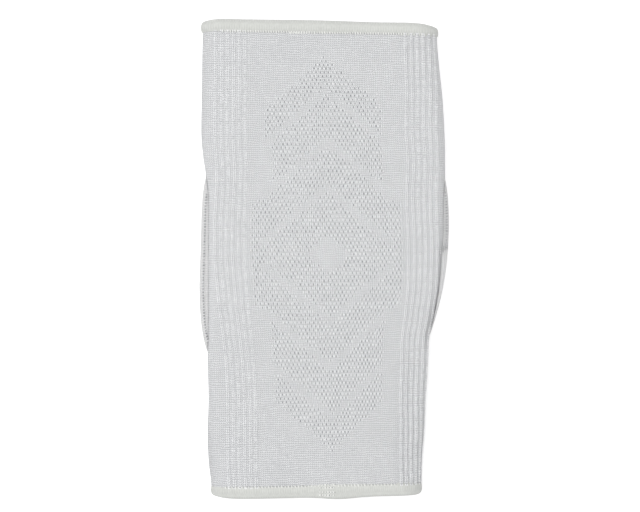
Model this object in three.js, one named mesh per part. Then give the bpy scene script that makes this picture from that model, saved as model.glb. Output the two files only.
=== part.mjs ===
// Knitted volleyball knee pad, lying flat on its padded face. Millimetres, +Z up.
// +Y runs along the sleeve to the thigh mouth and +X across it.
import * as THREE from "three";

// Driving dimensions
const WALL = 2;
const GAP = 0.3;
const SLEEVE_END = 127.8;
const SLEEVE_STEPS = 30;
const TURN_STEPS = 40;
const FOLD_SHARE = 0.4;

const CUFF_DEPTH = 6.4;
const CUFF_THICK = 3.6;
const CUFF_ROUNDNESS = 2.6;
const CUFF_STEPS = 10;
const CUFF_MIDDLE = SLEEVE_END + GAP + CUFF_DEPTH / 2;

const MOUTH_TILT = { thigh: -0.018, calf: 0.021 };
const MOUTH_BOW = 1.5;
const BOW_POWER = 6;

const PAD_THICK = 9;
const PAD_EDGE = 3.4;
const PAD_HALF_LENGTH = 75;
const PAD_SQUARENESS = 4;
const PAD_CUP = 3.4;
const PAD_SEAT = 0.65;
const PAD_STEPS = 72;

// The sleeve's sections: where each lies along Y, its side folds, the heights of its outer faces,
// how far the folds reach in, and how far the upper face sags between them.
const SLEEVE_SECTIONS = [
  { along: -128, left: -63.6, right: 54.8, under: 0.9, over: 20.4, fold: 10.5, sag: 1.4 },
  { along: -113, left: -65.2, right: 55.3, under: 0.9, over: 20.0, fold: 10.0, sag: 1.3 },
  { along: -97, left: -65.7, right: 56.5, under: 1.7, over: 19.5, fold: 9.0, sag: 1.0 },
  { along: -77, left: -65.2, right: 57.5, under: 4.8, over: 19.2, fold: 7.5, sag: 0.6 },
  { along: -57, left: -65.7, right: 58.6, under: 8.3, over: 19.6, fold: 6.2, sag: 0.2 },
  { along: -44, left: -66.1, right: 59.0, under: 9.2, over: 20.2, fold: 5.8, sag: 0 },
  { along: -31, left: -66.3, right: 61.6, under: 9.3, over: 20.4, fold: 5.8, sag: 0 },
  { along: -17, left: -66.5, right: 64.1, under: 9.3, over: 20.5, fold: 5.8, sag: 0 },
  { along: 0, left: -66.6, right: 65.5, under: 9.3, over: 20.6, fold: 5.8, sag: 0 },
  { along: 33, left: -66.6, right: 65.6, under: 9.3, over: 20.4, fold: 5.8, sag: 0 },
  { along: 48, left: -67.0, right: 66.8, under: 9.2, over: 20.2, fold: 5.8, sag: 0 },
  { along: 58, left: -68.2, right: 67.9, under: 8.3, over: 19.8, fold: 6.2, sag: 0.2 },
  { along: 72, left: -69.0, right: 67.8, under: 5.6, over: 19.4, fold: 7.5, sag: 0.6 },
  { along: 92, left: -69.0, right: 66.5, under: 1.9, over: 19.5, fold: 9.0, sag: 1.0 },
  { along: 112, left: -68.8, right: 64.4, under: 0.9, over: 20.0, fold: 10.0, sag: 1.3 },
  { along: 128, left: -68.4, right: 63.9, under: 0.9, over: 20.4, fold: 10.5, sag: 1.4 },
];

// The pad's side lines, before its ends are rounded off.
const PAD_SIDES = [
  { along: -75, left: -70.2, right: 56.5 },
  { along: -43, left: -70.2, right: 61.0 },
  { along: -16, left: -70.2, right: 66.9 },
  { along: 0, left: -69.8, right: 68.9 },
  { along: 20, left: -69.3, right: 70.2 },
  { along: 75, left: -69.8, right: 70.4 },
];

// How the pad thins from its middle to its rim: reach is the share of the way out.
const PAD_RINGS = [
  { reach: 0.3, thick: PAD_THICK },
  { reach: 0.64, thick: PAD_THICK },
  { reach: 0.78, thick: 0.94 * PAD_THICK },
  { reach: 0.86, thick: 0.8 * PAD_THICK },
  { reach: 0.9, thick: 0.66 * PAD_THICK },
  { reach: 0.925, thick: 0.57 * PAD_THICK },
  { reach: 0.95, thick: 1.25 * PAD_EDGE },
  { reach: 0.98, thick: PAD_EDGE },
];
const PAD_FLAT_REACH = 0.64;
const PAD_RIM = { reach: 1, share: 0.5 };

const WHITE_KNIT = { color: 0xd6d7da, roughness: 0.9, metalness: 0 };
const IVORY_ELASTIC = { color: 0xdedcd2, roughness: 0.85, metalness: 0 };
const WHITE_COVER = { color: 0xd2d3d6, roughness: 0.92, metalness: 0 };

// A smooth line through a table's column, flat at its turning points.
function valueAt(rows, column, along) {
  const last = rows.length - 2;
  let row = 0;
  while (row < last && along > rows[row + 1].along) {
    row += 1;
  }
  const slope = (i) => {
    const lower = rows[Math.max(i - 1, 0)];
    const upper = rows[Math.min(i + 1, rows.length - 1)];
    const rise = (rows[i][column] - lower[column]) * (upper[column] - rows[i][column]);
    return rise > 0 ? (upper[column] - lower[column]) / (upper.along - lower.along) : 0;
  };
  const from = rows[row];
  const to = rows[row + 1];
  const span = to.along - from.along;
  const t = THREE.MathUtils.clamp((along - from.along) / span, 0, 1);
  const eased = t * t * (3 - 2 * t);
  const start = slope(row) * span * t * (1 - t) * (1 - t);
  const end = slope(row + 1) * span * t * t * (t - 1);
  return from[column] + (to[column] - from[column]) * eased + start + end;
}

function sectionAt(along) {
  const left = valueAt(SLEEVE_SECTIONS, "left", along);
  const right = valueAt(SLEEVE_SECTIONS, "right", along);
  const under = valueAt(SLEEVE_SECTIONS, "under", along);
  const over = valueAt(SLEEVE_SECTIONS, "over", along);
  return {
    middle: (left + right) / 2,
    halfWidth: (right - left) / 2,
    height: (over + under) / 2,
    halfHeight: (over - under) / 2,
    fold: valueAt(SLEEVE_SECTIONS, "fold", along),
    sag: valueAt(SLEEVE_SECTIONS, "sag", along),
  };
}

// The mouths lean, and bow back at their corners, less and less towards the sleeve's middle.
function leanAt(along, across, halfWidth) {
  const share = (along + SLEEVE_END) / (2 * SLEEVE_END);
  const tilt = THREE.MathUtils.lerp(MOUTH_TILT.calf, MOUTH_TILT.thigh, share);
  const nearMouth = Math.sign(along) * (along / SLEEVE_END) ** BOW_POWER;
  return tilt * across - MOUTH_BOW * nearMouth * (across / halfWidth) ** BOW_POWER;
}

// A point of a section, as a share of the turn from the middle of its underside by the left fold.
// The inset goes into the wall from the outer face.
function wallPoint(section, turn, inset, along) {
  const quarter = Math.floor(turn * 4) % 4;
  const within = turn * 4 - Math.floor(turn * 4);
  const side = quarter < 2 ? -1 : 1;
  const face = quarter === 0 || quarter === 3 ? -1 : 1;
  const fromFold = quarter % 2 === 0 ? 1 - within : within;
  const fold = section.fold - inset;
  const halfHeight = section.halfHeight - inset;
  const flat = section.halfWidth - section.fold;
  let across = flat;
  let rise = halfHeight;
  if (fromFold < FOLD_SHARE) {
    const angle = (fromFold / FOLD_SHARE) * (Math.PI / 2);
    across = flat + fold * Math.cos(angle);
    rise = halfHeight * Math.sin(angle);
  } else {
    across = (flat * (1 - fromFold)) / (1 - FOLD_SHARE);
  }
  const hang = face > 0 ? Math.max(0, 1 - (across / flat) ** 2) ** 2 : 0;
  const x = side * across;
  return new THREE.Vector3(
    section.middle + x,
    along + leanAt(along, x, section.halfWidth),
    section.height + face * rise - section.sag * hang,
  );
}

// Joins rings of equally many points into one skin. Each ring runs the same way round.
function skin(rings, closed) {
  const around = rings[0].length;
  const faces = [];
  const steps = closed ? rings.length : rings.length - 1;
  for (let ring = 0; ring < steps; ring += 1) {
    const next = (ring + 1) % rings.length;
    for (let i = 0; i < around; i += 1) {
      const j = (i + 1) % around;
      const a = ring * around + i;
      const b = ring * around + j;
      const c = next * around + j;
      const d = next * around + i;
      faces.push(a, b, c, a, c, d);
    }
  }
  return faces;
}

function geometryFrom(points, faces) {
  const geometry = new THREE.BufferGeometry().setFromPoints(points);
  geometry.setIndex(faces);
  geometry.computeVertexNormals();
  return geometry;
}

function turns(count) {
  return Array.from({ length: count }, (_, i) => i / count);
}

function sleeveGeometry() {
  const stations = Array.from(
    { length: SLEEVE_STEPS + 1 },
    (_, i) => -SLEEVE_END + (2 * SLEEVE_END * i) / SLEEVE_STEPS,
  );
  const ring = (along, inset) => {
    const section = sectionAt(along);
    return turns(TURN_STEPS).map((turn) => wallPoint(section, turn, inset, along));
  };
  const outer = stations.map((along) => ring(along, 0));
  const inner = stations.map((along) => ring(along, WALL)).reverse();
  const rings = [...outer, ...inner];
  return geometryFrom(rings.flat(), skin(rings, true));
}

// A cuff is one rounded bead, swept round the mouth on the middle of the sleeve's wall.
function cuffGeometry(end) {
  const section = sectionAt(end * SLEEVE_END);
  const lobe = (value) => Math.sign(value) * Math.abs(value) ** (2 / CUFF_ROUNDNESS);
  const rings = turns(CUFF_STEPS).map((turn) => {
    const angle = -turn * 2 * Math.PI;
    const along = end * CUFF_MIDDLE + (CUFF_DEPTH / 2) * lobe(Math.cos(angle));
    const proud = (CUFF_THICK / 2) * lobe(Math.sin(angle));
    return turns(TURN_STEPS).map((round) => {
      const point = wallPoint(section, round, WALL / 2 - proud, end * SLEEVE_END);
      point.y += along - end * SLEEVE_END;
      return point;
    });
  });
  return geometryFrom(rings.flat(), skin(rings, true));
}

// The height of the pad's upper face, its seat below the sleeve's underside, over a point of the floor.
function padTop(x, y) {
  const along = y - leanAt(y, x, sectionAt(y).halfWidth);
  const section = sectionAt(along);
  const fold = section.fold + PAD_SEAT;
  const halfHeight = section.halfHeight + PAD_SEAT;
  const past = Math.abs(x - section.middle) - (section.halfWidth - section.fold);
  const share = THREE.MathUtils.clamp(past / fold, 0, 1);
  const rise = halfHeight * (1 - Math.sqrt(1 - share * share));
  return section.height - halfHeight + Math.min(rise, PAD_CUP);
}

function padOutline(turn, reach) {
  const lobe = (value) => Math.sign(value) * Math.abs(value) ** (2 / PAD_SQUARENESS);
  const angle = turn * 2 * Math.PI;
  const y = PAD_HALF_LENGTH * lobe(Math.sin(angle));
  const side = Math.cos(angle) < 0 ? "left" : "right";
  const x = Math.abs(lobe(Math.cos(angle))) * valueAt(PAD_SIDES, side, y);
  return new THREE.Vector2(x * reach, y * reach);
}

function padGeometry() {
  const ring = (reach, heightOf) =>
    turns(PAD_STEPS).map((turn) => {
      const spot = padOutline(turn, reach);
      return new THREE.Vector3(spot.x, spot.y, heightOf(padTop(spot.x, spot.y)));
    });
  const underside = (row) => (top) =>
    row.reach <= PAD_FLAT_REACH ? 0 : Math.max(0, top - row.thick);
  const below = PAD_RINGS.map((row) => ring(row.reach, underside(row)));
  const rim = ring(PAD_RIM.reach, (top) => top - PAD_RIM.share * PAD_EDGE);
  const above = PAD_RINGS.map((row) => ring(row.reach, (top) => top)).reverse();
  const rings = [...below, rim, ...above];
  const points = rings.flat();
  const faces = skin(rings, false);
  const bottom = points.push(new THREE.Vector3(0, 0, 0)) - 1;
  const top = points.push(new THREE.Vector3(0, 0, padTop(0, 0))) - 1;
  const lastRing = (rings.length - 1) * PAD_STEPS;
  for (let i = 0; i < PAD_STEPS; i += 1) {
    const j = (i + 1) % PAD_STEPS;
    faces.push(bottom, j, i);
    faces.push(top, lastRing + i, lastRing + j);
  }
  return geometryFrom(points, faces);
}

function piece(name, geometry, finish) {
  const mesh = new THREE.Mesh(geometry, new THREE.MeshStandardMaterial(finish));
  mesh.name = name;
  return mesh;
}

const kneePad = new THREE.Group();
kneePad.add(
  piece("knit_sleeve", sleeveGeometry(), WHITE_KNIT),
  piece("thigh_cuff", cuffGeometry(1), IVORY_ELASTIC),
  piece("calf_cuff", cuffGeometry(-1), IVORY_ELASTIC),
  piece("knee_pad", padGeometry(), WHITE_COVER),
);

export default kneePad;
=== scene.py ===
import math
from collections import namedtuple

import bpy
import numpy as np
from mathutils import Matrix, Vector, noise


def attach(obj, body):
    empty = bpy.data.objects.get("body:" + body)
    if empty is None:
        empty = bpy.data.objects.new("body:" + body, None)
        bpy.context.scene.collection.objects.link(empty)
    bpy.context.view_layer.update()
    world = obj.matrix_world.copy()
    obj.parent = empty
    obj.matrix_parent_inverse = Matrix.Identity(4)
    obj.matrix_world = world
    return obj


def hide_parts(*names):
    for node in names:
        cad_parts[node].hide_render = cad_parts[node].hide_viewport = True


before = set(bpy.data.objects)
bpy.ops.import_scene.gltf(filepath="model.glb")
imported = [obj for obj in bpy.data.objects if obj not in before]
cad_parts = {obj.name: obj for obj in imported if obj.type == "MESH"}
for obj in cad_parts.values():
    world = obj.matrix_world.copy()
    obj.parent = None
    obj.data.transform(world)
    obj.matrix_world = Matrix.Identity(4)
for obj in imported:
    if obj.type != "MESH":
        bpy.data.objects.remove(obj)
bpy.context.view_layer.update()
scene = bpy.context.scene


# The camera looks straight down on the sleeve as it lies, through a long lens.
# The sleeve's middle stands a little right of and below the picture's middle.
PICTURE = (640, 512)
METRES_PER_PIXEL = 0.0005627
SLEEVE_MIDDLE_PIXEL = (324.6, 259.35)
FACE_HEIGHT = 0.018
CAMERA_ABOVE = 1.4

camera_data = bpy.data.cameras.new("camera")
camera_data.sensor_width = 36.0
camera_data.lens = camera_data.sensor_width * CAMERA_ABOVE / (PICTURE[0] * METRES_PER_PIXEL)
camera = bpy.data.objects.new("camera", camera_data)
camera.location = (
    (PICTURE[0] / 2 - SLEEVE_MIDDLE_PIXEL[0]) * METRES_PER_PIXEL,
    (SLEEVE_MIDDLE_PIXEL[1] - PICTURE[1] / 2) * METRES_PER_PIXEL,
    FACE_HEIGHT + CAMERA_ABOVE,
)
scene.collection.objects.link(camera)
scene.camera = camera


# A plain white table top under a broad soft light, high on the left, in a pale room.
# The light is just low enough to draw the ribs and the openwork.
FLOOR_SIZE = 12.0
FLOOR_WHITE = (0.93, 0.93, 0.93, 1.0)
FLOOR_GLOW = 0.38
ROOM_LIGHT = 0.74
KEY_WATTS = 12.5
KEY_PLACE = (-0.48, 0.14, 1.56)
KEY_SIZE = 1.1


def mesh_object(name, points, faces, edges=()):
    """An object of points, faces and loose edges, in the scene."""
    mesh = bpy.data.meshes.new(name)
    mesh.from_pydata([tuple(point) for point in points], list(edges), faces)
    mesh.update()
    made = bpy.data.objects.new(name, mesh)
    scene.collection.objects.link(made)
    return made


half_floor = FLOOR_SIZE / 2
floor_corners = [
    (-half_floor, -half_floor, 0.0),
    (half_floor, -half_floor, 0.0),
    (half_floor, half_floor, 0.0),
    (-half_floor, half_floor, 0.0),
]
floor = mesh_object("floor", floor_corners, [(0, 1, 2, 3)])
floor_paint = bpy.data.materials.new("floor_paint")
floor_paint.use_nodes = True
floor_shader = floor_paint.node_tree.nodes["Principled BSDF"]
floor_shader.inputs["Base Color"].default_value = FLOOR_WHITE
floor_shader.inputs["Emission Color"].default_value = FLOOR_WHITE
floor_shader.inputs["Emission Strength"].default_value = FLOOR_GLOW
floor_shader.inputs["Roughness"].default_value = 0.9
floor_shader.inputs["Specular IOR Level"].default_value = 0.1
floor.data.materials.append(floor_paint)

key_data = bpy.data.lights.new("key_light", "AREA")
key_data.shape = "DISK"
key_data.size = KEY_SIZE
key_data.energy = KEY_WATTS
key_light = bpy.data.objects.new("key_light", key_data)
key_light.location = KEY_PLACE
key_light.rotation_euler = (-Vector(KEY_PLACE)).to_track_quat("-Z", "Y").to_euler()
scene.collection.objects.link(key_light)
room = bpy.data.worlds.new("room")
room.use_nodes = True
room.node_tree.nodes["Background"].inputs["Color"].default_value = (1.0, 1.0, 1.0, 1.0)
room.node_tree.nodes["Background"].inputs["Strength"].default_value = ROOM_LIGHT
scene.world = room
scene.view_settings.view_transform = "Standard"


# The sleeve is an elastic tube knitted in one piece, about 2 mm thick and open at both ends.
# It lies flattened on its pad, so each section is a flat loop with two round folds.
Section = namedtuple("Section", "along left right under over fold sag")
SLEEVE_SECTIONS = [
    Section(-0.128, -0.0641, 0.0543, 0.0009, 0.0204, 0.0105, 0.0014),
    Section(-0.113, -0.0656, 0.0549, 0.0009, 0.0200, 0.0100, 0.0013),
    Section(-0.097, -0.0662, 0.0564, 0.0017, 0.0195, 0.0090, 0.0010),
    Section(-0.077, -0.0656, 0.0575, 0.0048, 0.0192, 0.0075, 0.0006),
    Section(-0.057, -0.0660, 0.0586, 0.0083, 0.0196, 0.0062, 0.0002),
    Section(-0.044, -0.0661, 0.0592, 0.0092, 0.0202, 0.0058, 0.0),
    Section(-0.031, -0.0660, 0.0624, 0.0093, 0.0204, 0.0058, 0.0),
    Section(-0.017, -0.0660, 0.0650, 0.0093, 0.0205, 0.0058, 0.0),
    Section(0.000, -0.0660, 0.0664, 0.0093, 0.0206, 0.0058, 0.0),
    Section(0.012, -0.0660, 0.0673, 0.0093, 0.0205, 0.0058, 0.0),
    Section(0.033, -0.0660, 0.0677, 0.0093, 0.0204, 0.0058, 0.0),
    Section(0.048, -0.0671, 0.0680, 0.0092, 0.0202, 0.0058, 0.0),
    Section(0.058, -0.0687, 0.0680, 0.0083, 0.0198, 0.0062, 0.0002),
    Section(0.072, -0.0697, 0.0678, 0.0056, 0.0194, 0.0075, 0.0006),
    Section(0.092, -0.0695, 0.0667, 0.0019, 0.0195, 0.0090, 0.0010),
    Section(0.112, -0.0693, 0.0647, 0.0009, 0.0200, 0.0100, 0.0013),
    Section(0.128, -0.0690, 0.0636, 0.0009, 0.0204, 0.0105, 0.0014),
]
WALL = 0.002
GIRTH = 0.277
SLEEVE_END = 0.1278
SLEEVE_ROWS = 150
FOLD_SHARE = 0.4
UPPER_TURN = 0.25
DENT_EASE = 0.08
RING_SAMPLES = 400
CALF_TILT = 0.021
THIGH_TILT = -0.018
MOUTH_BOW = 0.0003
BOW_POWER = 6

# The tube lies slightly wrung, and drawn in towards its mouths: the panel and the two rib bands wander.
# Each shift is a share of the girth.
Twist = namedtuple("Twist", "along left middle right")
TUBE_TWIST = [
    Twist(-0.128, 0.033, 0.038, 0.021),
    Twist(-0.104, 0.036, 0.036, 0.0165),
    Twist(-0.076, 0.029, 0.031, 0.0135),
    Twist(-0.058, 0.024, 0.0275, 0.0155),
    Twist(-0.043, 0.0175, 0.024, 0.0152),
    Twist(-0.026, 0.0075, 0.017, 0.0105),
    Twist(0.000, -0.0015, 0.009, 0.0065),
    Twist(0.017, -0.0026, 0.002, 0.0025),
    Twist(0.037, 0.001, 0.0007, -0.001),
    Twist(0.054, 0.008, 0.008, 0.001),
    Twist(0.076, 0.013, 0.008, -0.003),
    Twist(0.110, 0.0175, 0.006, 0.002),
    Twist(0.128, 0.017, 0.0065, 0.0045),
]
BAND_SHARE = 0.193

# Six raised wales run on each side of the middle. They stand higher where the mouths gather the knit.
# The ground level is a share of a rib's height: the furrows between the ribs lie below it.
RIBS_IN_A_BAND = 6
FIRST_RIB = 0.0450
RIB_PITCH = 0.00324
GROUND_LEVEL = 0.6
RibRise = namedtuple("RibRise", "along left right")
RIB_RISES = [
    RibRise(-0.128, 0.0002, 0.0011),
    RibRise(-0.105, 0.0002, 0.0010),
    RibRise(-0.080, 0.00015, 0.00075),
    RibRise(-0.050, 0.0001, 0.0005),
    RibRise(0.060, 0.0001, 0.00022),
    RibRise(0.090, 0.0001, 0.0004),
    RibRise(0.112, 0.0001, 0.00065),
    RibRise(0.128, 0.0001, 0.0008),
]
PANEL_COLUMNS = 24
RIB_COLUMNS = 6
UNDER_COLUMNS = 40

# Painted shade: the knit is darkened where it turns down at the folds, most on the right beside the pad's
# strip.
# A power below 1 spreads that painted shade further up from the fold.
SidePaintedShade = namedtuple("SidePaintedShade", "along left right power")
SIDE_PAINTED_SHADES = [
    SidePaintedShade(-0.128, 0.32, 0.16, 0.80),
    SidePaintedShade(-0.108, 0.42, 0.15, 0.70),
    SidePaintedShade(-0.085, 0.26, 0.18, 0.80),
    SidePaintedShade(-0.062, 0.24, 0.22, 0.90),
    SidePaintedShade(-0.050, 0.16, 0.45, 0.60),
    SidePaintedShade(-0.042, 0.05, 0.95, 0.50),
    SidePaintedShade(-0.030, 0.05, 1.00, 0.45),
    SidePaintedShade(-0.022, 0.05, 0.60, 0.55),
    SidePaintedShade(-0.008, 0.05, 0.40, 0.60),
    SidePaintedShade(0.010, 0.05, 0.34, 0.60),
    SidePaintedShade(0.030, 0.05, 0.28, 0.70),
    SidePaintedShade(0.050, 0.20, 0.24, 0.80),
    SidePaintedShade(0.078, 0.32, 0.15, 0.70),
    SidePaintedShade(0.128, 0.32, 0.15, 0.70),
]

# Where the upper face dips between the pad and the mouths, and where it swells over the ribs.
Dent = namedtuple("Dent", "across along reach lift")
UPPER_FACE_DENTS = [
    Dent(-0.025, 0.086, 0.016, -0.0010),
    Dent(0.021, 0.091, 0.017, -0.0011),
    Dent(0.037, -0.099, 0.013, -0.0009),
    Dent(-0.060, -0.106, 0.010, -0.0007),
    Dent(0.014, -0.116, 0.012, -0.0005),
    Dent(-0.050, 0.067, 0.013, 0.0007),
    Dent(0.052, 0.066, 0.013, 0.0007),
    Dent(-0.050, -0.048, 0.013, 0.0006),
    Dent(0.042, -0.076, 0.012, 0.0006),
]


def value_at(rows, column, along):
    """A smooth line through a table's column, flat at its turning points."""
    places = [row.along for row in rows]
    values = [getattr(row, column) for row in rows]
    last = len(rows) - 1

    def slope(i):
        low = max(i - 1, 0)
        high = min(i + 1, last)
        rise = (values[i] - values[low]) * (values[high] - values[i])
        return (values[high] - values[low]) / (places[high] - places[low]) if rise > 0 else 0.0

    row = 0
    while row < last - 1 and along > places[row + 1]:
        row += 1
    span = places[row + 1] - places[row]
    t = min(max((along - places[row]) / span, 0.0), 1.0)
    eased = t * t * (3 - 2 * t)
    start = slope(row) * span * t * (1 - t) ** 2
    end = slope(row + 1) * span * t * t * (t - 1)
    return values[row] + (values[row + 1] - values[row]) * eased + start + end


def section_at(along):
    """The sleeve's section at a place along it."""
    return Section(along, *(value_at(SLEEVE_SECTIONS, name, along) for name in Section._fields[1:]))


def lean_at(along, across, half_width):
    """How far the tilted, bowed mouths carry a point along the sleeve."""
    share = (along + SLEEVE_END) / (2 * SLEEVE_END)
    tilt = CALF_TILT + (THIGH_TILT - CALF_TILT) * share
    near_mouth = math.copysign((along / SLEEVE_END) ** BOW_POWER, along)
    return tilt * across - MOUTH_BOW * near_mouth * (across / half_width) ** BOW_POWER


def wall_points(section, turn, inset):
    """Points of one section, by the share of the turn from the middle of its underside by the left fold."""
    quarter = np.floor(turn * 4).astype(int) % 4
    within = turn * 4 - np.floor(turn * 4)
    side = np.where(quarter < 2, -1.0, 1.0)
    face = np.where((quarter == 0) | (quarter == 3), -1.0, 1.0)
    from_fold = np.where(quarter % 2 == 0, 1 - within, within)
    half_width = (section.right - section.left) / 2
    half_height = (section.over - section.under) / 2 - inset
    flat = half_width - section.fold
    angle = np.minimum(from_fold / FOLD_SHARE, 1.0) * math.pi / 2
    in_fold = from_fold < FOLD_SHARE
    level = flat * (1 - from_fold) / (1 - FOLD_SHARE)
    across = np.where(in_fold, flat + (section.fold - inset) * np.cos(angle), level)
    hang = np.where(face > 0, np.maximum(0.0, 1 - (across / flat) ** 2) ** 2, 0.0)
    x = side * across
    height = (section.over + section.under) / 2 + face * half_height * np.sin(angle) - section.sag * hang
    y = section.along + lean_at(section.along, x, half_width)
    return np.column_stack([(section.left + section.right) / 2 + x, y, height])


def wale_turns(section, wales):
    """The turns at which wales stand, given as shares of the girth from the middle of the underside."""
    dense = np.linspace(0.0, 1.0, RING_SAMPLES + 1)
    ring = wall_points(section, dense, 0.0)
    steps = np.linalg.norm(np.diff(ring, axis=0), axis=1)
    share = np.concatenate([[0.0], np.cumsum(steps)]) / steps.sum()
    twist = Twist(section.along, *(value_at(TUBE_TWIST, part, section.along) for part in Twist._fields[1:]))
    under = (twist.left + twist.right) / 2
    stops = (0.0, 0.5 - BAND_SHARE, 0.5, 0.5 + BAND_SHARE, 1.0)
    shifted = wales + np.interp(wales, stops, (under, twist.left, twist.middle, twist.right, under))
    return np.interp(shifted % 1.0, share, dense)


def face_lift(points):
    """Dents and swellings of the upper face."""
    lift = np.zeros(len(points))
    for dent in UPPER_FACE_DENTS:
        away = (points[:, 0] - dent.across) ** 2 + (points[:, 1] - dent.along) ** 2
        lift += dent.lift * np.exp(-away / dent.reach**2)
    return lift


def fabric_columns():
    """Places across the fabric from its middle wale, one for each column of the wall."""
    band_start = FIRST_RIB - RIB_PITCH / 2
    band_end = band_start + RIBS_IN_A_BAND * RIB_PITCH
    half = np.concatenate([
        np.linspace(0.0, band_start, PANEL_COLUMNS, endpoint=False),
        np.linspace(band_start, band_end, RIBS_IN_A_BAND * RIB_COLUMNS, endpoint=False),
        np.linspace(band_end, GIRTH / 2, UNDER_COLUMNS, endpoint=False),
    ])
    return np.concatenate([[-GIRTH / 2], -half[:0:-1], half])


def rib_relief(across, along):
    """How far the ribs stand out of a row of the wall, and the furrows between them sink."""
    from_first = (np.abs(across) - FIRST_RIB) / RIB_PITCH
    in_band = (from_first >= -0.5) & (from_first <= RIBS_IN_A_BAND - 0.5)
    rise = np.where(across < 0, value_at(RIB_RISES, "left", along), value_at(RIB_RISES, "right", along))
    return np.where(in_band, rise * (np.abs(np.cos(math.pi * from_first)) - GROUND_LEVEL), 0.0)


def upper_share(turn, ease):
    """1 on the upper face, easing to 0 at its folds and staying 0 on the underside."""
    return np.clip((UPPER_TURN - np.abs(turn - 0.5)) / ease, 0.0, 1.0)


def sleeve_wall(inset):
    """The wall's points, a row for each station from calf to thigh and a column for each wale."""
    rows = []
    for along in row_places:
        section = section_at(along)
        turn = wale_turns(section, wale_shares[:-1])
        points = wall_points(section, turn, inset)
        points[:, 2] += face_lift(points) * upper_share(turn, DENT_EASE)
        rows.append(points)
    return np.array(rows)


def skin_faces(rings, columns):
    """Quads between rings of points, the last ring joined to the first."""
    return [
        (
            ring * columns + i,
            ring * columns + (i + 1) % columns,
            (ring + 1) % rings * columns + (i + 1) % columns,
            (ring + 1) % rings * columns + i,
        )
        for ring in range(rings)
        for i in range(columns)
    ]


def lay_map(mesh, column_shares, ring_heights):
    """Lays a map on a mesh of skin_faces: U is the share of the way round, V each ring's height."""
    layer = mesh.uv_layers.new(name="knit")
    face = np.arange(len(mesh.polygons))
    column = face % (len(column_shares) - 1)
    ring = face // (len(column_shares) - 1)
    heights = np.array(ring_heights)
    corners = np.empty((len(face), 4, 2))
    for corner, (du, dv) in enumerate([(0, 0), (1, 0), (1, 1), (0, 1)]):
        corners[:, corner, 0] = column_shares[column + du]
        corners[:, corner, 1] = heights[(ring + dv) % len(heights)]
    layer.data.foreach_set("uv", corners.ravel())


wall_columns = fabric_columns()
SLEEVE_COLUMNS = len(wall_columns)
wale_shares = np.append(wall_columns / GIRTH + 0.5, 1.0)
row_places = np.linspace(-SLEEVE_END, SLEEVE_END, SLEEVE_ROWS + 1)
outer_wall = sleeve_wall(0.0)
inner_wall = sleeve_wall(WALL)
wall_round = np.roll(outer_wall, -1, axis=1) - np.roll(outer_wall, 1, axis=1)
wall_along = np.gradient(outer_wall, axis=0)
wall_facing = np.cross(wall_round, wall_along)
wall_facing /= np.linalg.norm(wall_facing, axis=2, keepdims=True)
wall_along /= np.linalg.norm(wall_along, axis=2, keepdims=True)
relief = np.array([rib_relief(wall_columns, along) for along in row_places])
outer_wall += wall_facing * relief[:, :, None]
sleeve_rings = np.concatenate([outer_wall, inner_wall[::-1]])
knitted_sleeve = mesh_object(
    "knitted_sleeve", sleeve_rings.reshape(-1, 3), skin_faces(len(sleeve_rings), SLEEVE_COLUMNS)
)
row_heights = list(np.linspace(0.0, 1.0, SLEEVE_ROWS + 1))
lay_map(knitted_sleeve.data, wale_shares, row_heights + row_heights[::-1])
knitted_sleeve.data.shade_smooth()
# Painted shade on the folds, growing as the wall turns down, kept in the fold attribute.
painted_side_shade = np.zeros(sleeve_rings.shape[:2])
for row, along in enumerate(row_places):
    left_painted_shade = value_at(SIDE_PAINTED_SHADES, "left", along)
    right_shade = value_at(SIDE_PAINTED_SHADES, "right", along)
    tilt = 1 - np.abs(wall_facing[row, :, 2])
    shades = np.where(wall_columns < 0, left_painted_shade, right_shade)
    painted_side_shade[row] = shades * tilt ** value_at(SIDE_PAINTED_SHADES, "power", along)
side_shade_marks = knitted_sleeve.data.attributes.new("fold", "FLOAT", "POINT")
side_shade_marks.data.foreach_set("value", painted_side_shade.ravel())


# Its knit is rows of loops in a white that clouds a little; thicker yarn shows darker, and the gaps and
# folds get painted shade.
# A map of wales and courses carries the loops, and a slow sway keeps their rows from being ruled.
SLEEVE_WALES = 230
SLEEVE_COURSES = 214
SLEEVE_LOOP_RELIEF = 0.00027
SLEEVE_GAP_PAINTED_SHADE = 0.62
KNIT_WHITE = (0.815, 0.822, 0.833, 1.0)
KNIT_SHADE = (0.695, 0.704, 0.717, 1.0)
GAP_PAINTED_SHADE = (0.2, 0.2, 0.21, 1.0)
FOLD_PAINTED_SHADE = (0.30, 0.30, 0.31, 1.0)
LOOP_EDGE = 0.3
GAP_FALL = 1.6
LOOP_SWAY = 1.6
SWAY_SCALE = 220.0
CLOUD_SCALE = 70.0
CLOUD_STRENGTH = 0.5
SLUB_SCALE = 650.0
SLUB_STRENGTH = 1.4


def feed(tree, socket, value):
    """Links a socket to another one, or sets its number or colour."""
    if isinstance(value, bpy.types.NodeSocket):
        tree.links.new(value, socket)
    else:
        socket.default_value = value


def math_node(tree, operation, first, second=0.0):
    """A Math node fed by sockets or numbers."""
    node = tree.nodes.new("ShaderNodeMath")
    node.operation = operation
    feed(tree, node.inputs[0], first)
    feed(tree, node.inputs[1], second)
    return node.outputs["Value"]


def mixed_colour(tree, share, first, second):
    """A colour mix fed by sockets or colours, which a Mix node takes at its inputs 6 and 7."""
    node = tree.nodes.new("ShaderNodeMix")
    node.data_type = "RGBA"
    feed(tree, node.inputs[0], share)
    feed(tree, node.inputs[6], first)
    feed(tree, node.inputs[7], second)
    return node.outputs[2]


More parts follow.
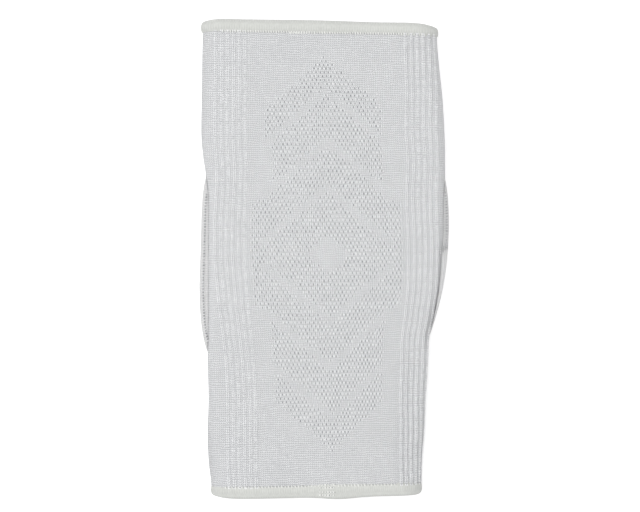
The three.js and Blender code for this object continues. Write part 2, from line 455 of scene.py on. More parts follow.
def cloud_node(tree, place, scale, detail):
    """Soft noise in the piece's own coordinates."""
    node = tree.nodes.new("ShaderNodeTexNoise")
    node.inputs["Scale"].default_value = scale
    node.inputs["Detail"].default_value = detail
    tree.links.new(place.outputs["Object"], node.inputs["Vector"])
    return node


def spread_about(tree, middle, cloud, strength):
    """A noise's value, widened by a strength about a middle."""
    widened = math_node(tree, "MULTIPLY", cloud.outputs["Fac"], strength)
    return math_node(tree, "ADD", widened, middle - strength / 2)


def jersey_loops():
    """Rows of knitted loops, each two leaning legs of yarn: the yarn's height, and the gaps it leaves."""
    tree = bpy.data.node_groups.new("jersey_loops", "ShaderNodeTree")
    tree.interface.new_socket("Map", in_out="INPUT", socket_type="NodeSocketVector")
    tree.interface.new_socket("Wales", in_out="INPUT", socket_type="NodeSocketFloat")
    tree.interface.new_socket("Courses", in_out="INPUT", socket_type="NodeSocketFloat")
    tree.interface.new_socket("Height", in_out="OUTPUT", socket_type="NodeSocketFloat")
    tree.interface.new_socket("Gap", in_out="OUTPUT", socket_type="NodeSocketFloat")
    given = tree.nodes.new("NodeGroupInput")
    put_out = tree.nodes.new("NodeGroupOutput")
    split = tree.nodes.new("ShaderNodeSeparateXYZ")
    tree.links.new(given.outputs["Map"], split.inputs[0])
    wale_place = math_node(tree, "MULTIPLY", split.outputs["X"], given.outputs["Wales"])
    across = math_node(tree, "FRACT", wale_place)
    from_spine = math_node(tree, "ABSOLUTE", math_node(tree, "SUBTRACT", across, 0.5))
    course = math_node(tree, "MULTIPLY", split.outputs["Y"], given.outputs["Courses"])
    leaning = math_node(tree, "SUBTRACT", course, from_spine)
    along = math_node(tree, "FRACT", leaning)
    leg = math_node(tree, "COSINE", math_node(tree, "MULTIPLY", from_spine, math.pi))
    wale = math_node(tree, "ADD", math_node(tree, "MULTIPLY", leg, 1.0 - LOOP_EDGE), LOOP_EDGE)
    belly = math_node(tree, "SINE", math_node(tree, "MULTIPLY", along, math.pi))
    height = math_node(tree, "MULTIPLY", wale, belly)
    tree.links.new(height, put_out.inputs["Height"])
    open_share = math_node(tree, "SUBTRACT", 1.0, math_node(tree, "MULTIPLY", height, GAP_FALL))
    tree.links.new(math_node(tree, "MAXIMUM", open_share, 0.0), put_out.inputs["Gap"])
    return tree


def knit_material(name, light, dark, wales, courses, relief, gap_painted_shade, sway=LOOP_SWAY, coordinates="UV"):
    """Knitted cloth: loops drawn by the jersey group, in a clouded white with painted shade in the gaps and
    on the folds.
    """
    material = bpy.data.materials.new(name)
    material.use_nodes = True
    tree = material.node_tree
    shader = tree.nodes["Principled BSDF"]
    place = tree.nodes.new("ShaderNodeTexCoord")
    loops = tree.nodes.new("ShaderNodeGroup")
    loops.node_tree = jersey
    wander = cloud_node(tree, place, SWAY_SCALE, 2.0)
    swayed = tree.nodes.new("ShaderNodeVectorMath")
    swayed.operation = "MULTIPLY_ADD"
    tree.links.new(wander.outputs["Color"], swayed.inputs[0])
    swayed.inputs[1].default_value = (sway / wales, sway / courses, 0.0)
    tree.links.new(place.outputs[coordinates], swayed.inputs[2])
    tree.links.new(swayed.outputs["Vector"], loops.inputs["Map"])
    loops.inputs["Wales"].default_value = wales
    loops.inputs["Courses"].default_value = courses
    unevenness = spread_about(tree, 0.0, cloud_node(tree, place, CLOUD_SCALE, 3.0), CLOUD_STRENGTH)
    slubbed = spread_about(tree, 0.5, cloud_node(tree, place, SLUB_SCALE, 1.0), SLUB_STRENGTH)
    base = mixed_colour(tree, math_node(tree, "ADD", slubbed, unevenness), light, dark)
    # The gaps between loops get painted shade.
    gap_shade_share = math_node(tree, "MULTIPLY", loops.outputs["Gap"], gap_painted_shade)
    shade = mixed_colour(tree, gap_shade_share, base, GAP_PAINTED_SHADE)
    # The fold attribute holds painted shade: on the sleeve's folds, the bands' outer rims and ends, and the
    # pad's strips.
    fold = tree.nodes.new("ShaderNodeAttribute")
    fold.attribute_name = "fold"
    folded = mixed_colour(tree, fold.outputs["Fac"], shade, FOLD_PAINTED_SHADE)
    tree.links.new(folded, shader.inputs["Base Color"])
    bump = tree.nodes.new("ShaderNodeBump")
    bump.inputs["Strength"].default_value = 1.0
    bump.inputs["Distance"].default_value = relief
    tree.links.new(loops.outputs["Height"], bump.inputs["Height"])
    tree.links.new(bump.outputs["Normal"], shader.inputs["Normal"])
    shader.inputs["Roughness"].default_value = 0.92
    shader.inputs["Specular IOR Level"].default_value = 0.2
    return material


jersey = jersey_loops()
white_knit = knit_material(
    "white_knit", KNIT_WHITE, KNIT_SHADE, wales=SLEEVE_WALES, courses=SLEEVE_COURSES,
    relief=SLEEVE_LOOP_RELIEF, gap_painted_shade=SLEEVE_GAP_PAINTED_SHADE,
)
knitted_sleeve.data.materials.append(white_knit)
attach(knitted_sleeve, "root")
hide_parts("knit_sleeve")


# Two bands of raised wales run the sleeve's whole length, six to each side of the openwork panel.
# Each is one column of larger loops, knitted in with the ground: a chain of leaning legs of yarn.
RIB_WIDTH = 0.0018
RIB_STITCH = 0.0014
RIB_YARN = 0.00029
RIB_PATH_POINTS = 130
RIB_WHITE = (0.98, 0.984, 0.99, 1.0)
YARN_SHADE = (0.80, 0.808, 0.82, 1.0)
# Holes get painted shade, for the shaded inside that shows through them.
HOLE_PAINTED_SHADE = (0.26, 0.265, 0.275, 1.0)
HOLE_SIDES = 8
YARN_CLOUD_SCALE = 420.0
YARN_CLOUD_STRENGTH = 2.0
HOLE_SHADE_STRENGTH = 0.9
HOLE_UNEVENNESS = 1.6
TWIST_SCALE = 3500.0

# A leg's foot and head are shares of the loop's width, and its half length a share of the loop's length.
# It arches, and stands out of the knit, by shares of its yarn.
RIB_FOOT = 0.13
RIB_HEAD = 0.34
RIB_HALF = 0.38
RIB_ARCH = 0.6
RIB_PROUD = 0.3

# Along a leg, the yarn's thickness as a share of its full one.
LegSwell = namedtuple("LegSwell", "along swell")
LEG_SWELLS = [LegSwell(0.0, 0.55), LegSwell(0.3, 1.0), LegSwell(0.7, 1.0), LegSwell(1.0, 0.55)]


def on_wall(field, across, along):
    """A value of the outer wall at fabric places, across from the middle wale and along the sleeve."""
    column = np.interp((across / GIRTH + 0.5) % 1.0, wale_shares, np.arange(SLEEVE_COLUMNS + 1))
    row = np.clip((along + SLEEVE_END) / (2 * SLEEVE_END) * SLEEVE_ROWS, 0, SLEEVE_ROWS - 1e-6)
    left = np.floor(column).astype(int) % SLEEVE_COLUMNS
    low = np.floor(row).astype(int)
    right = (left + 1) % SLEEVE_COLUMNS
    s = (column - np.floor(column))[:, None]
    t = (row - low)[:, None]
    lower = field[low, left] * (1 - s) + field[low, right] * s
    upper = field[low + 1, left] * (1 - s) + field[low + 1, right] * s
    return lower * (1 - t) + upper * t


def yarn_leg(start, end, radius, arch):
    """A short four-sided length of yarn that rises in the middle and thins at its ends."""
    start = np.array(start)
    end = np.array(end)
    way = (end - start) / np.linalg.norm(end - start)
    aside = np.cross(way, (0.0, 0.0, 1.0))
    points = []
    for t, swell in LEG_SWELLS:
        middle = start + (end - start) * t + np.array((0.0, 0.0, arch * math.sin(math.pi * t)))
        for cosine, sine in ((1, 0), (0, 1), (-1, 0), (0, -1)):
            points.append(middle + radius * swell * (aside * cosine + np.array((0.0, 0.0, sine))))
    faces = [
        (ring * 4 + i, ring * 4 + (i + 1) % 4, ring * 4 + 4 + (i + 1) % 4, ring * 4 + 4 + i)
        for ring in range(3)
        for i in range(4)
    ]
    return points, faces + [(3, 2, 1, 0), (12, 13, 14, 15)]


def hole_disc(x, y, z, radius):
    """A small flat disc marked for painted shade: an opening in the knit, or the hole a needle leaves."""
    angles = 2 * math.pi * np.arange(HOLE_SIDES) / HOLE_SIDES
    points = [np.array((x + radius * math.cos(a), y + radius * math.sin(a), z)) for a in angles]
    return points, [tuple(range(HOLE_SIDES))]


def stitch_object(name, legs, holes=()):
    """One stitch, to be set down many times, with its holes marked for painted shade."""
    points = []
    faces = []
    for part_points, part_faces in list(legs) + list(holes):
        faces += [tuple(len(points) + i for i in face) for face in part_faces]
        points += part_points
    made = mesh_object(name, points, faces)
    hole_points = HOLE_SIDES * len(holes)
    marks = made.data.attributes.new("hole", "FLOAT", "POINT")
    marks.data.foreach_set("value", [0.0] * (len(points) - hole_points) + [1.0] * hole_points)
    return made


def stitch_tree(name, sockets):
    """A tree with named inputs, and its two ends."""
    tree = bpy.data.node_groups.new(name, "GeometryNodeTree")
    for socket, kind in sockets + (
        ("Stitch", "Object"), ("Unevenness", "Float"), ("Seed", "Int"), ("Yarn", "Material"),
    ):
        tree.interface.new_socket(socket, in_out="INPUT", socket_type="NodeSocket" + kind)
    tree.interface.new_socket("Stitches", in_out="OUTPUT", socket_type="NodeSocketGeometry")
    return tree, tree.nodes.new("NodeGroupInput"), tree.nodes.new("NodeGroupOutput")


def held_vector(tree, name):
    """A vector that each point of the carrier holds."""
    node = tree.nodes.new("GeometryNodeInputNamedAttribute")
    node.data_type = "FLOAT_VECTOR"
    node.inputs["Name"].default_value = name
    return node.outputs["Attribute"]


def set_down(tree, given, put_out, points, facing, onward):
    """Sets one stitch down at each point, standing on the cloth and turned onward, uneven in size."""
    turned = tree.nodes.new("FunctionNodeAxesToRotation")
    turned.primary_axis = "Z"
    turned.secondary_axis = "Y"
    uneven = tree.nodes.new("FunctionNodeRandomValue")
    uneven.data_type = "FLOAT"
    least = math_node(tree, "SUBTRACT", 1.0, given.outputs["Unevenness"])
    most = math_node(tree, "ADD", 1.0, given.outputs["Unevenness"])
    shape = tree.nodes.new("GeometryNodeObjectInfo")
    placed = tree.nodes.new("GeometryNodeInstanceOnPoints")
    real = tree.nodes.new("GeometryNodeRealizeInstances")
    dyed = tree.nodes.new("GeometryNodeSetMaterial")
    for source, target in (
        (facing, turned.inputs["Primary Axis"]),
        (onward, turned.inputs["Secondary Axis"]),
        (least, uneven.inputs[2]),
        (most, uneven.inputs[3]),
        (given.outputs["Seed"], uneven.inputs["Seed"]),
        (given.outputs["Stitch"], shape.inputs["Object"]),
        (points, placed.inputs["Points"]),
        (shape.outputs["Geometry"], placed.inputs["Instance"]),
        (turned.outputs["Rotation"], placed.inputs["Rotation"]),
        (uneven.outputs[1], placed.inputs["Scale"]),
        (placed.outputs["Instances"], real.inputs["Geometry"]),
        (real.outputs["Geometry"], dyed.inputs["Geometry"]),
        (given.outputs["Yarn"], dyed.inputs["Material"]),
        (dyed.outputs["Geometry"], put_out.inputs["Stitches"]),
    ):
        tree.links.new(source, target)


def stitching_tree():
    """Stitches along paths, at even spaces."""
    sockets = (("Paths", "Geometry"), ("Spacing", "Float"))
    tree, given, put_out = stitch_tree("stitches_along_paths", sockets)
    curve = tree.nodes.new("GeometryNodeMeshToCurve")
    spaced = tree.nodes.new("GeometryNodeResampleCurve")
    spaced.mode = "LENGTH"
    tree.links.new(given.outputs["Paths"], curve.inputs["Mesh"])
    tree.links.new(curve.outputs["Curve"], spaced.inputs["Curve"])
    tree.links.new(given.outputs["Spacing"], spaced.inputs["Length"])
    onward = tree.nodes.new("GeometryNodeInputTangent").outputs["Tangent"]
    set_down(tree, given, put_out, spaced.outputs["Curve"], held_vector(tree, "facing"), onward)
    return tree


def settled_mesh(name, carrier, tree, settings):
    """Runs a tree on its carrier and keeps what it makes as a plain mesh."""
    modifier = carrier.modifiers.new(tree.name, "NODES")
    modifier.node_group = tree
    sockets = {item.name: item.identifier for item in tree.interface.items_tree if item.in_out == "INPUT"}
    for socket, value in settings.items():
        modifier[sockets[socket]] = value
    depsgraph = bpy.context.evaluated_depsgraph_get()
    mesh = bpy.data.meshes.new_from_object(carrier.evaluated_get(depsgraph))
    carrier.modifiers.remove(modifier)
    bpy.data.objects.remove(carrier)
    bpy.data.objects.remove(settings["Stitch"])
    for attribute in ("facing", "along"):
        if attribute in mesh.attributes:
            mesh.attributes.remove(mesh.attributes[attribute])
    made = bpy.data.objects.new(name, mesh)
    mesh.name = name
    mesh.shade_smooth()
    scene.collection.objects.link(made)
    return made


def write_vectors(mesh, name, vectors):
    """Gives each point of a mesh a vector to hold."""
    attribute = mesh.attributes.new(name, "FLOAT_VECTOR", "POINT")
    attribute.data.foreach_set("vector", np.asarray(vectors, dtype=np.float32).ravel())


def sewn(name, paths, stitch, spacing, unevenness, seed, yarn):
    """Stitches along paths, each path given as its points and their facings."""
    points = np.concatenate([places for places, _ in paths])
    facings = np.concatenate([facing for _, facing in paths])
    edges = []
    start = 0
    for places, _ in paths:
        edges += [(i, i + 1) for i in range(start, start + len(places) - 1)]
        start += len(places)
    carrier = mesh_object(name + "_paths", points, [], edges)
    write_vectors(carrier.data, "facing", facings)
    settings = {"Stitch": stitch, "Spacing": spacing, "Unevenness": unevenness, "Seed": seed, "Yarn": yarn}
    return settled_mesh(name, carrier, stitching, settings)


def yarn_material(name, light, dark):
    """Bare yarn: a white that clouds from stitch to stitch, with a fine twist, and painted shade where a
    hole is marked.
    """
    material = bpy.data.materials.new(name)
    material.use_nodes = True
    tree = material.node_tree
    shader = tree.nodes["Principled BSDF"]
    place = tree.nodes.new("ShaderNodeTexCoord")
    clouds = cloud_node(tree, place, YARN_CLOUD_SCALE, 2.0)
    hole = tree.nodes.new("ShaderNodeAttribute")
    hole.attribute_name = "hole"
    yarn = mixed_colour(tree, spread_about(tree, 0.5, clouds, YARN_CLOUD_STRENGTH), light, dark)
    depth = spread_about(tree, HOLE_SHADE_STRENGTH, clouds, HOLE_UNEVENNESS)
    shadow = math_node(tree, "MULTIPLY", hole.outputs["Fac"], depth)
    tree.links.new(mixed_colour(tree, shadow, yarn, HOLE_PAINTED_SHADE), shader.inputs["Base Color"])
    twist = cloud_node(tree, place, TWIST_SCALE, 2.0)
    bump = tree.nodes.new("ShaderNodeBump")
    bump.inputs["Strength"].default_value = 0.4
    bump.inputs["Distance"].default_value = 0.0001
    tree.links.new(twist.outputs["Fac"], bump.inputs["Height"])
    tree.links.new(bump.outputs["Normal"], shader.inputs["Normal"])
    shader.inputs["Roughness"].default_value = 0.9
    shader.inputs["Specular IOR Level"].default_value = 0.2
    return material


def rib_paths(side):
    """The lines that one side's ribs follow, laid on the wall."""
    along = np.linspace(-SLEEVE_END, SLEEVE_END, RIB_PATH_POINTS)
    paths = []
    for rib in range(RIBS_IN_A_BAND):
        across = np.full(RIB_PATH_POINTS, side * (FIRST_RIB + rib * RIB_PITCH))
        facing = on_wall(wall_facing, across, along)
        paths.append((on_wall(outer_wall, across, along) + facing * RIB_YARN * RIB_PROUD, facing))
    return paths


stitching = stitching_tree()
knit_yarn = yarn_material("knit_yarn", RIB_WHITE, YARN_SHADE)
for band, side in (("left_rib_band", -1), ("right_rib_band", 1)):
    rib_legs = []
    for way in (-1, 1):
        foot = (way * RIB_FOOT * RIB_WIDTH, -RIB_HALF * RIB_STITCH, 0)
        head = (way * RIB_HEAD * RIB_WIDTH, RIB_HALF * RIB_STITCH, 0)
        rib_legs.append(yarn_leg(foot, head, RIB_YARN, RIB_ARCH * RIB_YARN))
    rib_stitch = stitch_object("rib_stitch", rib_legs)
    ribs = sewn(
        band, rib_paths(side), rib_stitch, spacing=RIB_STITCH, unevenness=0.16, seed=3, yarn=knit_yarn
    )
    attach(ribs, "root")


# The panel behind the knee is openwork: staggered eyelets, each a ring of yarn about a small hole,
# left out along plain lines so that nested diamonds show. It is knitted in one with the ground.
EYELET_ACROSS = 0.00232
EYELET_ALONG = 0.00213
EYELET_YARN = 0.00034
EYELET_JITTER = 0.00014
EYELET_MIDDLE = 0.0029
OPENWORK_WHITE = (0.93, 0.935, 0.942, 1.0)
DIAMOND_SLOPE = 0.88
PANEL_REACH = 0.1110
MIDDLE_DIAMOND = 0.0108
PLAIN_LINES = (0.0377, 0.0637, 0.0920)
PLAIN_LINE_HALF = 0.0023
PLAIN_LINE_REACH = 0.0360
FIRST_TIER_LEFT = 0.0346
THIGH_HALF_WIDTH = 0.0312
CALF_HALF_WIDTH = 0.0332
WAIST_HALF_WIDTH = 0.0415

# An eyelet's legs and its hole are shares of the eyelet's pitch, and its heights shares of its yarn.
EYELET_FOOT = 0.36
EYELET_HEAD = 0.24
EYELET_HALF = 0.24
EYELET_HOLE = 0.205
EYELET_ARCH = 0.7
EYELET_PROUD = 0.1
EYELET_HOLE_RISE = 0.2


def has_eyelet(across, along):
    """Whether the panel's rule puts an eyelet here, as measured from the panel's middle."""
    reach = abs(along) + DIAMOND_SLOPE * abs(across)
    end_width = THIGH_HALF_WIDTH if along > 0 else CALF_HALF_WIDTH
    if along > 0 and across < 0 and reach > PLAIN_LINES[2]:
        end_width = FIRST_TIER_LEFT
    width = WAIST_HALF_WIDTH if reach < PLAIN_LINES[1] else end_width
    near_line = any(abs(reach - line) < PLAIN_LINE_HALF for line in PLAIN_LINES)
    on_line = near_line and abs(across) < PLAIN_LINE_REACH
    return MIDDLE_DIAMOND < reach < PANEL_REACH and abs(across) < width and not on_line


def eyelet_legs():
    """The two legs of yarn that lean over an eyelet's hole from its sides."""
    foot = EYELET_FOOT * EYELET_ACROSS
    head = EYELET_HEAD * EYELET_ACROSS
    half = EYELET_HALF * EYELET_ALONG
    return [
        yarn_leg((way * foot, -half, 0.0), (way * head, half, 0.0), EYELET_YARN, EYELET_ARCH * EYELET_YARN)
        for way in (-1, 1)
    ]


def scattering_tree():
    """Stitches at given places, each turned along the sleeve."""
    tree, given, put_out = stitch_tree("eyelets_on_cloth", (("Places", "Geometry"),))
    facing = held_vector(tree, "facing")
    set_down(tree, given, put_out, given.outputs["Places"], facing, held_vector(tree, "along"))
    return tree


eyelet_places = []
panel_rows = int(PANEL_REACH / EYELET_ALONG)
panel_columns = int(WAIST_HALF_WIDTH / EYELET_ACROSS) + 1
for row in range(-panel_rows, panel_rows + 1):
    for column in range(-panel_columns, panel_columns + 1):
        across = (column + 0.5 * (row % 2)) * EYELET_ACROSS
        if has_eyelet(across, row * EYELET_ALONG):
            eyelet_places.append((across, row * EYELET_ALONG + EYELET_MIDDLE))
jitter = np.random.default_rng(7).uniform(-EYELET_JITTER, EYELET_JITTER, (len(eyelet_places), 2))
eyelet_across, eyelet_along = (np.array(eyelet_places) + jitter).T
eyelet_facing = on_wall(wall_facing, eyelet_across, eyelet_along)
eyelet_proud = eyelet_facing * EYELET_YARN * EYELET_PROUD
eyelet_points = on_wall(outer_wall, eyelet_across, eyelet_along) + eyelet_proud
eyelet_carrier = mesh_object("eyelet_places", eyelet_points, [])
write_vectors(eyelet_carrier.data, "facing", eyelet_facing)
write_vectors(eyelet_carrier.data, "along", on_wall(wall_along, eyelet_across, eyelet_along))
openwork_yarn = yarn_material("openwork_yarn", OPENWORK_WHITE, YARN_SHADE)
# The eyelet's hole is a disc in painted shade.
opening = hole_disc(0.0, 0.0, EYELET_HOLE_RISE * EYELET_YARN, EYELET_HOLE * EYELET_ACROSS)
eyelet_stitch = stitch_object("eyelet_stitch", eyelet_legs(), [opening])
eyelet_settings = {"Stitch": eyelet_stitch, "Unevenness": 0.14, "Seed": 5, "Yarn": openwork_yarn}
eyelet_panel = settled_mesh("eyelet_panel", eyelet_carrier, scattering_tree(), eyelet_settings)
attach(eyelet_panel, "root")


# Each mouth is bound with a soft elastic band, folded over the knit's cut edge into a round bead.
# The band's ends meet on the upper face, and an overlock seam holds its inner edge to the knit.
CUFF_THICK = 0.0036
CUFF_ROUNDNESS = 2.6
CUFF_LAP = 0.0026
INNER_TAPER = 1.5
NOSE_POWER = 60
END_POWER = 10
CUFF_COLUMNS = 280
BEAD_SIDES = 18
BEAD_PAINTED_SHADE = 0.24
OUTER_SHADE_POWER = 4
JOINT_EASE = 0.0015
JOINT_EASE_TURN = 0.02
BEAD_LUMPS = 0.05
LUMP_SCALE = 90.0
BEAD_WANDER = 0.00025
WANDER_SCALE = 35.0
WANDER_START = Vector((7.0, 0.0, 0.0))
CUFF_WALES = 195
CUFF_COURSES = 7
CUFF_LOOP_RELIEF = 0.0001
CUFF_GAP_PAINTED_SHADE = 0.16
CUFF_SWAY = 0.5
CUFF_WHITE = (0.660, 0.670, 0.643, 1.0)
CUFF_SHADE = (0.576, 0.586, 0.558, 1.0)
SEAM_WHITE = (0.92, 0.925, 0.905, 1.0)
SEAM_SHADE = (0.78, 0.786, 0.765, 1.0)
SEAM_YARN = 0.00034
SEAM_HALF = 0.0008
SEAM_SLANT = 0.0002
SEAM_ARCH = 0.0001
SEAM_PROUD = 0.0002
SEAM_BACK = 0.0003
SEAM_HOLE = 0.0002
SEAM_HOLE_SHIFT = 0.0002
UNDER_SEAM_REACH = 0.86
TACK_STITCH = 0.0015
TACK_YARN = 0.00026
TACK_HALF = 0.0007
TACK_SLANT = 0.0005
TACK_ARCH = 0.00012
TACK_HOLE = 0.0002
TACK_HOLE_RISE = 0.00005
Corner = namedtuple("Corner", "power pull nose seam_reach")
Cuff = namedtuple("Cuff", "mouth end depth stitch left right")
CUFFS = [
    Cuff("thigh", 1, 0.0092, 0.00142, Corner(16, 0.13, 0.15, 0.83), Corner(9, 0.23, 0.0, 0.90)),
    Cuff("calf", -1, 0.0088, 0.00186, Corner(8, 0.25, -0.30, 0.87), Corner(60, 0.04, 0.05, 0.76)),
]
BandJoint = namedtuple(
    "BandJoint", "across half_length swell bulge bulge_across bulge_reach tack_start tack_end tack_sides"
)
BAND_JOINTS = {
    "thigh": BandJoint(-0.003, 0.018, 0.10, -0.0005, 0.0312, 0.018, -0.0195, -0.0055, (12,)),
    "calf": BandJoint(0.000, 0.010, 0.10, 0.0012, 0.0085, 0.012, -0.0032, 0.0052, (12, 13, 14, 15)),
}


def lobe(value, roundness):
    """A sine or cosine drawn out towards a rounded square."""
    return math.copysign(abs(value) ** (2 / roundness), value)


def cuff_bead(cuff, joint):
    """Rings of points of a bead round a mouth, flush with the knit inside, and each point's painted shade
    at the rim and ends.
    """
    section = section_at(cuff.end * SLEEVE_END)
    turn = wale_turns(section, np.arange(CUFF_COLUMNS) / CUFF_COLUMNS)
    guide = wall_points(section, turn, 0.0)
    from_joint = joint.half_length - np.abs(guide[:, 0] - joint.across)
    near_joint = np.clip(from_joint / JOINT_EASE, 0.0, 1.0) * upper_share(turn, JOINT_EASE_TURN)
    lumps = np.array([noise.noise(Vector(point) * LUMP_SCALE) for point in guide])
    full = 1.0 + BEAD_LUMPS * lumps + joint.swell * near_joint
    wander = np.array([noise.noise(Vector(point) * WANDER_SCALE + WANDER_START) for point in guide])
    half_width = (section.right - section.left) / 2
    from_middle = (guide[:, 0] - (section.left + section.right) / 2) / half_width
    on_left = from_middle < 0
    corner_power = np.where(on_left, cuff.left.power, cuff.right.power)
    outer_pull = np.where(on_left, cuff.left.pull, cuff.right.pull) * np.abs(from_middle) ** corner_power
    full += np.where(on_left, cuff.left.nose, cuff.right.nose) * np.abs(from_middle) ** NOSE_POWER
    bulge = joint.bulge * np.exp(-(((guide[:, 0] - joint.bulge_across) / joint.bulge_reach) ** 2))
    rings = []
    painted_bead_shade = []
    for side in range(BEAD_SIDES):
        angle = -2 * math.pi * side / BEAD_SIDES
        outward = cuff.end * lobe(math.cos(angle), CUFF_ROUNDNESS)
        share = (1 + outward) / 2 * (1 - outer_pull)
        reach = cuff.depth * share - CUFF_LAP + bulge * max(0.0, outward)
        onward = cuff.end * reach + BEAD_WANDER * wander
        swell = lobe(math.sin(angle), CUFF_ROUNDNESS)
        if outward < 0:
            swell = math.copysign(math.cos(math.pi / 2 * outward) ** INNER_TAPER, swell)
        proud = CUFF_THICK / 2 * swell * full
        ring = wall_points(section, turn, WALL / 2 - proud)
        ring[:, 1] += onward
        rings.append(ring)
        painted_bead_shade.append(np.maximum(max(0.0, outward) ** OUTER_SHADE_POWER, np.abs(from_middle) ** END_POWER))
    return np.array(rings), np.array(painted_bead_shade)


def ring_facing(ring):
    """Which way a ring of points faces, away from the leg."""
    facing = np.cross(np.roll(ring, -1, axis=0) - np.roll(ring, 1, axis=0), (0.0, 1.0, 0.0))
    return facing / np.linalg.norm(facing, axis=1, keepdims=True)


ivory_elastic = knit_material(
    "ivory_elastic", CUFF_WHITE, CUFF_SHADE, wales=CUFF_WALES, courses=CUFF_COURSES,
    relief=CUFF_LOOP_RELIEF, gap_painted_shade=CUFF_GAP_PAINTED_SHADE, sway=CUFF_SWAY,
)
seam_yarn = yarn_material("seam_yarn", SEAM_WHITE, SEAM_SHADE)
edge_bindings = []
for cuff in CUFFS:
    joint = BAND_JOINTS[cuff.mouth]
    bead, painted_bead_shade = cuff_bead(cuff, joint)
    bead_faces = skin_faces(BEAD_SIDES, CUFF_COLUMNS)
    binding = mesh_object(cuff.mouth + "_binding", bead.reshape(-1, 3), bead_faces)
    lay_map(binding.data, np.arange(CUFF_COLUMNS + 1) / CUFF_COLUMNS, np.arange(BEAD_SIDES) / BEAD_SIDES)
    binding.data.shade_smooth()
    # Painted shade on the bead's outer rim and ends, where the band turns away from the light.
    bead_shade_marks = binding.data.attributes.new("fold", "FLOAT", "POINT")
    bead_shade_marks.data.foreach_set("value", BEAD_PAINTED_SHADE * painted_bead_shade.ravel())
    binding.data.materials.append(ivory_elastic)
    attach(binding, "root")
    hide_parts(cuff.mouth + "_cuff")

    seam_section = section_at(cuff.end * SLEEVE_END)
    seam_turn = wale_turns(seam_section, np.arange(CUFF_COLUMNS) / CUFF_COLUMNS)
    seam_line = wall_points(seam_section, seam_turn, -SEAM_PROUD)
    seam_line[:, 1] -= cuff.end * SEAM_BACK
    seam_facing = ring_facing(seam_line)
    seam_half = (seam_section.right - seam_section.left) / 2
    from_middle = (seam_line[:, 0] - (seam_section.left + seam_section.right) / 2) / seam_half
    on_top = np.abs(seam_turn - 0.5) < UPPER_TURN
    in_reach = (from_middle > -cuff.left.seam_reach) & (from_middle < cuff.right.seam_reach)
    top_seam = np.flatnonzero(on_top & in_reach)
    under_seam = np.flatnonzero(~on_top & (np.abs(from_middle) < UNDER_SEAM_REACH))
    top_seam = top_seam[np.argsort(seam_turn[top_seam])]
    under_seam = under_seam[np.argsort((seam_turn[under_seam] + 0.5) % 1.0)]
    seam_paths = [(seam_line[stretch], seam_facing[stretch]) for stretch in (top_seam, under_seam)]
    seam_leg = yarn_leg((-SEAM_HALF, -SEAM_SLANT, 0), (SEAM_HALF, SEAM_SLANT, 0), SEAM_YARN, SEAM_ARCH)
    seam_hole = hole_disc(-cuff.end * SEAM_HOLE_SHIFT, cuff.stitch / 2, 0.0, SEAM_HOLE)
    seam_stitch = stitch_object("seam_stitch", [seam_leg], [seam_hole])
    seam = sewn(
        cuff.mouth + "_overlock", seam_paths, seam_stitch,
        spacing=cuff.stitch, unevenness=0.18, seed=11, yarn=seam_yarn,
    )
    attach(seam, "root")

    tack_rows = []
    for side in joint.tack_sides:
        ring = bead[side]
        on_joint = on_top & (ring[:, 0] > joint.tack_start) & (ring[:, 0] < joint.tack_end)
        tack_rows.append((ring[on_joint], ring_facing(ring)[on_joint]))
    tack_legs = [
        yarn_leg((-TACK_HALF, -TACK_SLANT * way, 0), (TACK_HALF, TACK_SLANT * way, 0), TACK_YARN, TACK_ARCH)
        for way in (-1, 1)
    ]
    tack_hole = hole_disc(0.0, TACK_STITCH / 2, TACK_HOLE_RISE, TACK_HOLE)
    tack_stitch = stitch_object("tack_stitch", tack_legs, [tack_hole])
    tack = sewn(
        cuff.mouth + "_joint_tack", tack_rows, tack_stitch,
        spacing=TACK_STITCH, unevenness=0.3, seed=13, yarn=seam_yarn,
    )
    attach(tack, "root")
    edge_bindings += [binding, seam, tack]


# The knee pad is a slab of foam in a knitted cover, lying under the sleeve.
# Its rim is sewn flat, turned up against the sleeve's sides, and shows as a narrow strip on each side.
PAD_THICK = 0.009
PAD_EDGE = 0.0034
PAD_HALF_LENGTH = 0.075
PAD_SQUARENESS = 4
PAD_CUP = 0.0056
PAD_SEAT = 0.00005
COVER_WRAP = 0.0009
STRIP_RISE = 0.0026
STRIP_OVERLAP = 0.0007
STRIP_STEP = 0.05
LEFT_STRIP_SLOPE = 0.30
RIGHT_STRIP_SLOPE = 0.75
LEFT_STRIP_PAINTED_SHADE = 0.14
RIM_ROUNDING = 0.0009
ROUNDED_FROM = 0.98
ROUNDED_SPAN = 0.015
PAD_COLUMNS = 300
OUTLINE_SAMPLES = 4000
PadSide = namedtuple("PadSide", "along left right right_shade")
PAD_SIDES = [
    PadSide(-0.075, -0.0706, 0.0565, 0.40),
    PadSide(-0.043, -0.0706, 0.0610, 0.40),
    PadSide(-0.016, -0.0707, 0.0669, 0.0),
    PadSide(0.000, -0.0702, 0.0692, 0.0),
    PadSide(0.020, -0.0697, 0.0703, 0.28),
    PadSide(0.075, -0.0698, 0.0704, 0.28),
]
PadRing = namedtuple("PadRing", "along thick")
PAD_PROFILE = [
    PadRing(0.0, 1.0),
    PadRing(0.64, 1.0),
    PadRing(0.78, 0.94),
    PadRing(0.86, 0.80),
    PadRing(0.90, 0.66),
    PadRing(0.925, 0.57),
    PadRing(0.95, 0.47),
    PadRing(0.98, 0.378),
    PadRing(1.0, 0.30),
]
UNDER_REACHES = (0.10, 0.22, 0.34, 0.46, 0.56, 0.64, 0.71, 0.78, 0.83, 0.87, 0.90, 0.925, 0.95, 0.97, 0.987)
